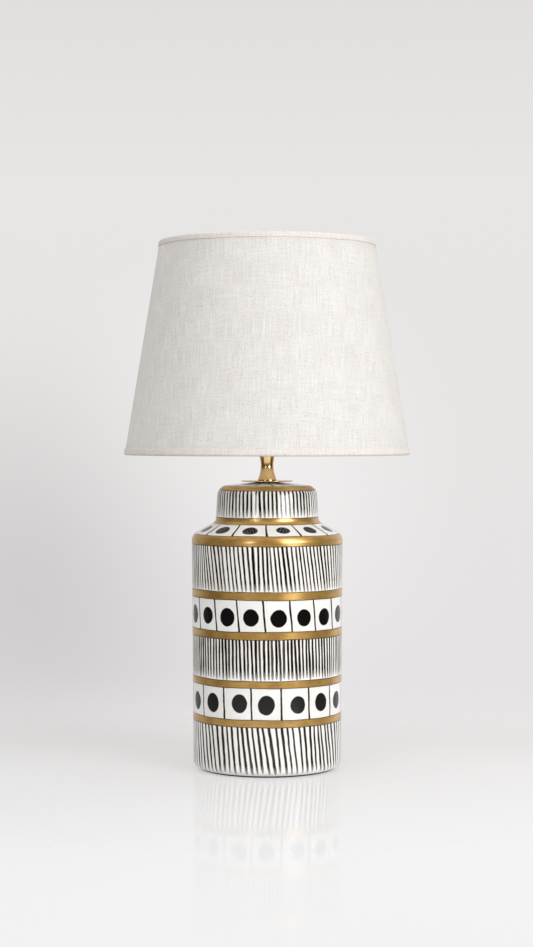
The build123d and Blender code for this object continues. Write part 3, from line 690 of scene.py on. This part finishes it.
# The finish of each slot: maker, name, two tones, roughness, grain and relief in mm, and what is special.
FINISHES = {
    # turned and buffed: deep mirror reflections with faint turning rings
    "polished_brass": (
        metal, "Brass, turned and polished", "#fdd89a", "#f0c684", 0.12, 0.9, 0.004, {"stretch": 60}),
    # wire under lacquer: a paler, softer shine than solid brass
    "brassed_steel": (metal, "Brass-plated steel, lacquered", "#d2ac68", "#b98f4c", 0.2, 1.5, 0.004, {}),
    # thin sheet: a warm gloss with drawing marks round it
    "socket_brass": (
        metal, "Brass, drawn and lacquered", "#cfa65c", "#b58a45", 0.2, 0.7, 0.004, {"stretch": 40}),
    # a cool grey satin with cloudy patches
    "zinc_steel": (metal, "Zinc-plated steel", "#b9bcc0", "#9a9da1", 0.32, 1.2, 0.004, {}),
    # a pale, slightly frosted shine
    "aluminium": (metal, "Aluminium, drawn", "#d5d6d8", "#bdbec1", 0.28, 0.8, 0.004, {"stretch": 30}),
    # melted on: bright grey and softly uneven
    "solder": (metal, "Tin solder, melted", "#c3c4c6", "#9b9c9f", 0.3, 1.0, 0.05, {}),
    # injection moulded: a low black satin with a fine skin
    "black_nylon": (moulding, "Nylon, moulded", "#121212", "#1e1e1e", 0.38, 0.8, 0.02, {"IOR": 1.53}),
    # cut from black sheet: matt and slightly dusty
    "gasket_rubber": (moulding, "Rubber, die-cut", "#171716", "#252423", 0.75, 1.2, 0.03, {"IOR": 1.52}),
    # compression moulded: brown-black with a hard shine
    "phenolic": (moulding, "Phenolic, moulded", "#1d1613", "#2c211b", 0.25, 2.0, 0.01, {"IOR": 1.6}),
    # a warm grey card with a dull, layered face
    "fibre_sleeve": (
        moulding, "Vulcanised fibre, rolled", "#7c7468", "#958b7b", 0.7, 1.0, 0.04, {"IOR": 1.5}),
    # steel wire under enamel: glossy white, with slight runs
    "white_enamel_wire": (
        moulding, "White enamel, dipped", "#ecebe6", "#f4f3ef", 0.22, 5.0, 0.05, {"IOR": 1.5}),
    # an even, soft-sheened white wall that lets light glow through
    "styrene": (
        moulding, "Styrene sheet, calendered", "#f8f7f4", "#fcfbf9", 0.45, 3.0, 0.01,
        {"IOR": 1.59, "through": (0.4, "#fbfaf7")}),
    # pressed round the bulb's contact: jet black and glossy
    "black_glass": (moulding, "Black glass, pressed", "#0c0c0e", "#17171a", 0.12, 3.0, 0.02, {"IOR": 1.55}),
    # frosted inside: milk white with a soft even glow
    "opal_glass": (
        moulding, "Opal glass, blown", "#f1f0ec", "#f7f6f3", 0.18, 20.0, 0.01,
        {"IOR": 1.52, "Subsurface Weight": 0.3, "Subsurface Radius": (0.004, 0.004, 0.004)}),
}


def finish(node):
    """The material of a CAD node's slot, made once for all the nodes that share it."""
    make, name, *values, special = FINISHES[SLOT_OF[node]]
    return bpy.data.materials.get(name) or make(name, *values, **special)


def dress(*nodes):
    """Gives CAD nodes that keep their own shape the finish of their slot."""
    for node in nodes:
        materials = frame["nodes"][node].data.materials
        materials.clear()
        materials.append(finish(node))


class LAMP_OT_crown_metal(bpy.types.Operator):
    """Polish the vase cap, neck and check ring on the crown"""
    bl_idname = "lamp.crown_metal"
    bl_label = "Crown metalwork"

    def execute(self, context):
        dress("vase_cap", "neck", "check_ring")
        return {"FINISHED"}


class LAMP_OT_clamping_stack(bpy.types.Operator):
    """Plate the pipe, nuts and washers that clamp the lamp together"""
    bl_idname = "lamp.clamping_stack"
    bl_label = "Clamping stack"

    def execute(self, context):
        dress("threaded_pipe", "foot_washer", "foot_lock_washer", "foot_nut", "saddle_nut")
        dress("foot_gasket", "crown_gasket")
        return {"FINISHED"}


class LAMP_OT_socket(bpy.types.Operator):
    """Finish the lamp socket and its turn switch"""
    bl_idname = "lamp.socket"
    bl_label = "Socket and switch"

    def execute(self, context):
        dress("socket_cap", "socket_set_screw", "socket_shell", "socket_sleeve", "socket_body")
        dress("screw_shell", "centre_contact", "terminal_screw_live", "terminal_screw_neutral")
        dress("switch_shaft", "switch_knob")
        return {"FINISHED"}


class LAMP_OT_harp(bpy.types.Operator):
    """Plate the harp, its saddle, stud and ferrules"""
    bl_idname = "lamp.harp"
    bl_label = "Harp"

    def execute(self, context):
        dress("harp_saddle", "harp_bow", "harp_stud", "ferrule_left", "ferrule_right")
        return {"FINISHED"}


class LAMP_OT_finial(bpy.types.Operator):
    """Polish the finial that holds the shade down"""
    bl_idname = "lamp.finial"
    bl_label = "Finial"

    def execute(self, context):
        dress("finial_base", "finial_knob")
        return {"FINISHED"}


class LAMP_OT_bulb(bpy.types.Operator):
    """Finish the bulb's glass, cap, insulator and tip"""
    bl_idname = "lamp.bulb"
    bl_label = "Bulb"

    def execute(self, context):
        dress("bulb_tip", "bulb_insulator", "bulb_screw_cap", "bulb_glass")
        return {"FINISHED"}


# Shade

def woven_linen(cloth, name, uv_name, light, dark, stretch, through):
    """Slub linen, plain-woven from uneven flax yarn and laminated: matt, with streaks and bits of stalk.

    Its threads are about 0.6 mm apart; they are drawn about twice as coarse so that they show.
    """
    material, put = surface(name)
    flat = put("UVMap", uv_map=uv_name)
    pitch, slub = cloth.thread, cloth.slub * stretch
    yarns = []
    for scale in ((1 / pitch, 1 / slub, 1), (1 / slub, 1 / pitch, 1)):
        yarn = put("Mapping", flat, Scale=scale)
        yarns.append(put("TexNoise 2D", yarn, 1.0, 3.0, 0.65))
    tone, weft = yarns
    grain = put("TexNoise 2D", flat, 1 / pitch, 1.0)
    cloud = put("TexNoise 2D", flat, every(26.0), 3.0)
    for noise, weight in ((weft, 0.55), (grain, 0.7), (cloud, 0.25)):
        tone = put("MULTIPLY_ADD", noise, weight, tone)
    tone = put("MapRange", tone, 0.8, 1.75)
    base = put("Mix RGBA", tone, light, dark)
    # bits of stalk lie here and there along the threads
    bits = put("Mapping", flat, Scale=(every(1.1), every(1.7), 1))
    bits = put("TexNoise 2D", bits, 1.0, 0.0)
    bits = put("MapRange", bits, 0.79, 0.86, 0.0, 0.5)
    base = put("Mix RGBA", bits, base, cloth.fleck)
    # the threads go over and under one another
    weave = put("VectorMath SCALE", flat, pi / pitch)
    over, under, _ = put("SeparateXYZ", weave).outputs
    crown = put("MULTIPLY", put("SINE", over), put("SINE", under))
    crown = put("MULTIPLY_ADD", crown, 0.1, tone)
    relief = put("Bump", Height=crown, Strength=0.7, Distance=0.22 * MM)
    shader = put(
        "BsdfPrincipled", Base_Color=base, Roughness=0.92, IOR=1.5, Specular_IOR_Level=0.25, Normal=relief,
        Sheen_Weight=0.12, Sheen_Tint=cloth.fuzz)
    # some light passes through the cloth
    passed = put("BsdfTranslucent", Color=base, Normal=relief)
    put("OutputMaterial", put("MixShader", through, shader, passed))
    return material


def glue_film():
    """Adhesive film, rolled clear between the linen and the lining: light passes straight through it."""
    material, put = surface("Adhesive film, clear")
    place = put("TexCoord").outputs["Object"]
    streaks = put("TexNoise", place, every(6.0))
    haze = put("MapRange", streaks, 0.0, 1.0, 0.02, 0.1)
    milky = put("BsdfTranslucent", linear("#f2f1ed"))
    put("OutputMaterial", put("MixShader", haze, put("BsdfTransparent"), milky))
    return material


def thicken(sheet, name, thickness):
    """Gives a sheet its thickness, away from the face that shows, with glue on the hidden side."""
    sheet.data.materials.append(glue_film())
    wall = sheet.modifiers.new(name, "SOLIDIFY")
    wall.thickness = thickness
    wall.offset = -1
    wall.material_offset = 1


RINGS = 8
EDGE_RING = 1.5 * MM


def wall_heights(low, high):
    """Heights for the rings of a cone's wall, with one close to each edge so that its shading stays even."""
    rise = high - low - 2 * EDGE_RING
    return [low, *[low + EDGE_RING + rise * i / RINGS for i in range(RINGS + 1)], high]


def shade_taper(size):
    """How much the shade's radius shrinks for its height."""
    return (size.radius_low - size.radius_high) / (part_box("top_trim")[1].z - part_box("bottom_trim")[0].z)


# The lap at the back: how far it stands out, the width of its step, and what still counts as on it.
LAP_RISE = 0.45 * MM
LAP_STEP = 0.3 * MM
LAP_SLACK = 0.1 * MM
# The hems: glue under them, the wire that they are tucked behind, how far up, and the free edge's waver.
HEM_GLUE = 0.05 * MM
RING_WIRE = 3.2 * MM
TUCK_SHARE = 0.7
HEM_WAVER = 0.12 * MM
FREE_ROUNDING = 0.7 * MM
FOLD_ROUNDING = 2.2 * MM
INNER_ROUNDING = 0.8 * MM
END_ROUNDING = 0.3 * MM


class LAMP_OT_shade_cloth(bpy.types.Operator):
    """Wrap the linen round the shade and fold its hems"""
    bl_idname = "lamp.shade_cloth"
    bl_label = "Linen shade"

    def execute(self, context):
        size, cloth = context.scene.lamp_shade, context.scene.lamp_cloth
        low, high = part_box("shade_linen")
        bottom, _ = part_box("bottom_trim")
        taper = shade_taper(size)

        def radius_at(height):
            """Radius of the linen's outer face."""
            return size.radius_low - taper * (height - bottom.z)

        lean = sin(atan(taper))
        bm = bmesh.new()
        cut = bm.loops.layers.uv.new("cut_pattern")
        profile(bm, [(radius_at(z), z) for z in wall_heights(low.z, high.z)])
        spin_round(bm)
        self.lap_ends(bm, size)
        for face in bm.faces:
            middle = face.calc_center_median()
            lapped = middle.y > 0 and middle.x > -size.seam / 2
            for loop in face.loops:
                x, y, _ = loop.vert.co
                angle = atan2(x, -y)
                angle = (angle + TURN if lapped and angle < 0 else angle) * lean
                reach = hypot(x, y) / lean
                loop[cut].uv = (reach * sin(angle), -reach * cos(angle))
        linen_cloth = woven_linen(
            cloth, "Slub linen, laminated", "cut_pattern", cloth.light_thread, cloth.dark_thread, 1.0, 0.36)
        linen = piece("linen_wrap", bm, "shade_linen", linen_cloth)
        thicken(linen, "cloth", size.cloth)
        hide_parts("shade_linen")

        trim_cloth = woven_linen(
            cloth, "Slub linen, folded bias trim", "strip", cloth.trim_thread, cloth.trim_slub, 0.6, 0.22)
        for node, name, upwards in (("top_trim", "top_hem", 1), ("bottom_trim", "bottom_hem", -1)):
            self.fold_hem(node, name, upwards, radius_at, size, trim_cloth)
        return {"FINISHED"}

    def lap_ends(self, bm, size):
        """At the back one end of the linen is turned under and stuck over the other."""
        edge = size.seam / 2
        for x in (-edge - LAP_STEP, -edge, edge, edge + LAP_STEP):
            back = [face for face in bm.faces if face.calc_center_median().y > 0]
            bmesh.ops.bisect_plane(bm, geom=with_parts(back), plane_co=(x, 0, 0), plane_no=(1, 0, 0))
        for vert in bm.verts:
            if vert.co.y > 0 and abs(vert.co.x) < edge + LAP_SLACK:
                vert.co.y += LAP_RISE

    def fold_hem(self, node, name, upwards, radius_at, size, material):
        """A strip of linen folded over one edge of the shade and the ring inside it."""
        low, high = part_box(node)
        edge_z, free_z = (high.z, low.z) if upwards > 0 else (low.z, high.z)
        outside = HEM_GLUE + size.hem
        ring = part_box("bottom_ring" if upwards < 0 else "spider_frame")[1].x
        tuck = ring - RING_WIRE - HEM_GLUE
        tuck_z = edge_z - upwards * (TUCK_SHARE * (high.z - low.z))
        under_z = edge_z - upwards * size.hem
        bm = bmesh.new()
        run_of = bm.verts.layers.float.new("strip_run")
        strip = bm.loops.layers.uv.new("strip")
        outline = profile(bm, (
            (radius_at(free_z) + HEM_GLUE, free_z),
            (radius_at(free_z) + outside, free_z, FREE_ROUNDING),
            (radius_at(edge_z) + outside, edge_z, FOLD_ROUNDING),
            (tuck - size.hem, edge_z, INNER_ROUNDING),
            (tuck - size.hem, tuck_z, END_ROUNDING),
            (tuck, tuck_z),
            (tuck, under_z),
            (radius_at(under_z) + HEM_GLUE, under_z),
            (radius_at(free_z) + HEM_GLUE, free_z),
        ))
        mark_run(outline, run_of, 1.0)
        spin_round(bm)
        # a hand-turned fold is never quite even
        for vert in bm.verts:
            x, y, z = vert.co
            angle = atan2(x, -y)
            wave = sin(7 * angle + 1.1 * upwards) + 0.7 * sin(17 * angle) + 0.5 * sin(41 * angle + 2)
            loose = abs(z - edge_z) / abs(free_z - edge_z)
            if hypot(x, y) > radius_at(z):
                vert.co.z += HEM_WAVER * wave * loose
        for face in bm.faces:
            side = 1 if face.calc_center_median().x > 0 else -1
            for loop in face.loops:
                x, y, _ = loop.vert.co
                angle = atan2(abs(x), -y) * side
                loop[strip].uv = (angle * radius_at(edge_z), loop.vert[run_of])
        hem = piece(name, bm, node, material, crease=50)
        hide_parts(node)
        return hem


class LAMP_OT_shade_frame(bpy.types.Operator):
    """Finish the wire frame and the lining inside the shade"""
    bl_idname = "lamp.shade_frame"
    bl_label = "Shade frame and lining"

    def execute(self, context):
        dress("spider_frame", "bottom_ring")
        size = context.scene.lamp_shade
        low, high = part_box("shade_liner")
        taper = shade_taper(size)
        bm = bmesh.new()
        inner = high.x - size.lining
        profile(bm, [(inner - taper * (z - low.z), z) for z in wall_heights(low.z, high.z)])
        spin_round(bm)
        bmesh.ops.reverse_faces(bm, faces=bm.faces)
        lining = piece("lining", bm, "shade_liner", finish("shade_liner"))
        thicken(lining, "sheet", size.lining)
        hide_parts("shade_liner")
        return {"FINISHED"}


# Stage

# Greys of the set by the slope of the line of sight: the table from near to far, a painted shadow line along
# its far edge, then the paper.
BACKDROP = (
    (-0.30, "#f4f3f3"), (-0.20, "#f1f0f0"), (-0.16, "#eceaea"), (-0.148, "#e0dedd"), (-0.135, "#e5e3e3"),
    (0.12, "#e8e6e5"), (0.21, "#e1dedd"), (0.30, "#dfdcdb"))
# Bright panels above the softboxes: the way to them from the lamp, their reach and their glare.
PANELS = (((0.46, -0.49, 0.74), 0.38, 6.0), ((-0.31, -0.64, 0.71), 0.3, 0.9))
# Ways from the lamp to the painted shadow on the paper and to the painted pool of light where the paper is
# brightest.
PAINTED_SHADOW_WAY = (-0.11, 0.99, -0.075)
PAINTED_HALO_WAY = (-0.013, 0.9997, -0.0225)
TABLE_RADIUS = 1.0
SENSOR_MM = 36
SOFTBOX_DISTANCE = 2.0
SOFTBOX_ELEVATION = radians(15)
SOFTBOX_AIM = Vector((0, 0, 0.3))
# What a softbox's fabric passes of the light that an evenly bright one would.
FABRIC_SHARE = 0.45


class LAMP_OT_stage(bpy.types.Operator):
    """Set up the table, the backdrop, the softboxes and the camera"""
    bl_idname = "lamp.stage"
    bl_label = "Stage"

    def execute(self, context):
        studio = context.scene.lamp_studio
        context.scene.view_settings.view_transform = "Standard"
        self.table()
        self.room(context.scene, studio)
        self.softbox("key_softbox", radians(41), (1.46, 1.46), studio.key_power)
        self.softbox("fill_softbox", radians(-26), (0.38, 1.46), studio.fill_power)
        data = bpy.data.cameras.new("camera")
        data.sensor_width = SENSOR_MM
        data.lens = studio.lens
        camera = new_object("camera", data)
        camera.location = (-studio.camera_shift, -studio.camera_distance, studio.camera_height)
        camera.rotation_euler = (pi / 2 - studio.camera_pitch, 0, 0)
        context.scene.camera = camera
        return {"FINISHED"}

    def table(self):
        """A pale glossy table top that fades into the backdrop."""
        material, put = surface("Acrylic sheet, polished white")
        reach = put("VectorMath LENGTH", put("TexCoord").outputs["Object"])
        fade = put(EASE, reach, 0.15, TABLE_RADIUS, 0.45, 1.0)
        shader = put(
            "BsdfPrincipled", Base_Color=linear("#e0e0e0"), Roughness=0.06, Specular_IOR_Level=0.075)
        put("OutputMaterial", put("MixShader", fade, shader, put("BsdfTransparent")))
        bm = bmesh.new()
        bmesh.ops.create_circle(bm, cap_ends=True, segments=96, radius=TABLE_RADIUS)
        table = mesh_object("table", bm, material)

    def room(self, scene, studio):
        """Even light from all round, and a grey paper backdrop for what looks at it."""
        scene.world = bpy.data.worlds.new("studio")
        put = fresh_nodes(scene.world)
        way = put("TexCoord").outputs["Generated"]
        right, back, rise = put("SeparateXYZ", way).outputs
        lowest, highest = BACKDROP[0][0], BACKDROP[-1][0]
        paper = put("ValToRGB", put("MapRange", rise, lowest, highest))
        ramp = paper.color_ramp.elements
        for i, (height, hex_colour) in enumerate(BACKDROP):
            share = (height - lowest) / (highest - lowest)
            stop = ramp[i] if i < 2 else ramp.new(share)
            stop.position = share
            stop.color = linear(hex_colour)
        # a painted soft shadow of the lamp darkens the paper to the left of it
        painted_shadow = put(EASE, put("VectorMath DISTANCE", way, PAINTED_SHADOW_WAY), 0.0, 0.15, 0.8, 1.0)
        # a painted pool of light makes the paper brightest behind the lamp
        glow = put(EASE, put("VectorMath DISTANCE", way, PAINTED_HALO_WAY), 0.126, 0.0, 1.0, 1.115)
        seen = put("Background", paper, put("MULTIPLY", glow, painted_shadow))
        # most of the room's light comes down from above
        above = put("MapRange", rise, 0.0, 1.0, studio.room_light, 3.0 * studio.room_light)
        light = put("Background", linear("#fafafa"), above)
        # the studio round the camera is dim, so polished faces turned to it stay dark
        behind = put("MapRange", right, -0.9, 0.2, 0.5, 1.0)
        dim = put(EASE, back, 0.1, 0.8, 0.1, behind)
        # the pale table runs on towards the camera
        near = put(EASE, back, -0.3, -0.7, 0.0, 0.9)
        table = put("MULTIPLY", near, put("MapRange", rise, -0.06, -0.24))
        dim = put("MAXIMUM", dim, table)
        for panel_way, reach, glare in PANELS:
            off = put("VectorMath DISTANCE", way, panel_way)
            dim = put("ADD", dim, put(EASE, off, reach, 0.5 * reach, 0.0, glare))
        mirrored = put("Background", paper, dim)
        path = put("LightPath").outputs
        shown = put("MAXIMUM", path["Is Camera Ray"], path["Is Transmission Ray"])
        lit = put("MixShader", path["Is Glossy Ray"], light, mirrored)
        put("OutputWorld", put("MixShader", shown, lit, seen))

    def softbox(self, name, azimuth, size, watts):
        """A diffused light aimed at the middle of the lamp, brightest in its middle and dark at its rim."""
        data = bpy.data.lights.new(name, "AREA")
        data.shape = "RECTANGLE"
        data.size, data.size_y = size
        data.energy = watts
        put = fresh_nodes(data)
        off = put("VectorMath DISTANCE", put("NewGeometry").outputs["Parametric"], (0.5, 0.5, 0.0))
        glow = put(EASE, off, 0.25, 0.5, 1 / FABRIC_SHARE, 0.0)
        put("OutputLight", put("Emission", Strength=glow))
        light = new_object(name, data)
        across = cos(SOFTBOX_ELEVATION)
        way = Vector((sin(azimuth) * across, -cos(azimuth) * across, sin(SOFTBOX_ELEVATION)))
        light.location = SOFTBOX_AIM + SOFTBOX_DISTANCE * way
        light.rotation_euler = (-way).to_track_quat("-Z", "Y").to_euler()


class LAMP_PT_panel(bpy.types.Panel):
    """The lamp's sizes, colours and building steps"""
    bl_idname = "LAMP_PT_panel"
    bl_label = "Painted jar lamp"
    bl_space_type = "VIEW_3D"
    bl_region_type = "UI"
    bl_category = "Lamp"

    def draw(self, context):
        for step in STEPS:
            self.layout.operator(step.bl_idname)
        for name in GROUPS:
            group = getattr(context.scene, name)
            box = self.layout.box()
            for prop in group.bl_rna.properties:
                if prop.identifier not in ("rna_type", "name"):
                    box.prop(group, prop.identifier)


STEPS = (
    LAMP_OT_stage, LAMP_OT_jar, LAMP_OT_felt_pad, LAMP_OT_crown_metal, LAMP_OT_clamping_stack,
    LAMP_OT_socket, LAMP_OT_harp, LAMP_OT_finial, LAMP_OT_bulb, LAMP_OT_shade_cloth, LAMP_OT_shade_frame,
)
GROUPS = {
    "lamp_jar": JarSizes, "lamp_paint": JarPaint, "lamp_shade": ShadeSizes, "lamp_cloth": ShadeCloth,
    "lamp_studio": Studio,
}


def register():
    for made in (*GROUPS.values(), *STEPS, LAMP_PT_panel):
        bpy.utils.register_class(made)
    for name, group in GROUPS.items():
        setattr(bpy.types.Scene, name, bpy.props.PointerProperty(type=group))


def unregister():
    for name in GROUPS:
        delattr(bpy.types.Scene, name)
    for made in (LAMP_PT_panel, *reversed(STEPS), *GROUPS.values()):
        bpy.utils.unregister_class(made)


def main():
    register()
    for step in STEPS:
        area, name = step.bl_idname.split(".")
        getattr(getattr(bpy.ops, area), name)()


if __name__ == "__main__":
    main()
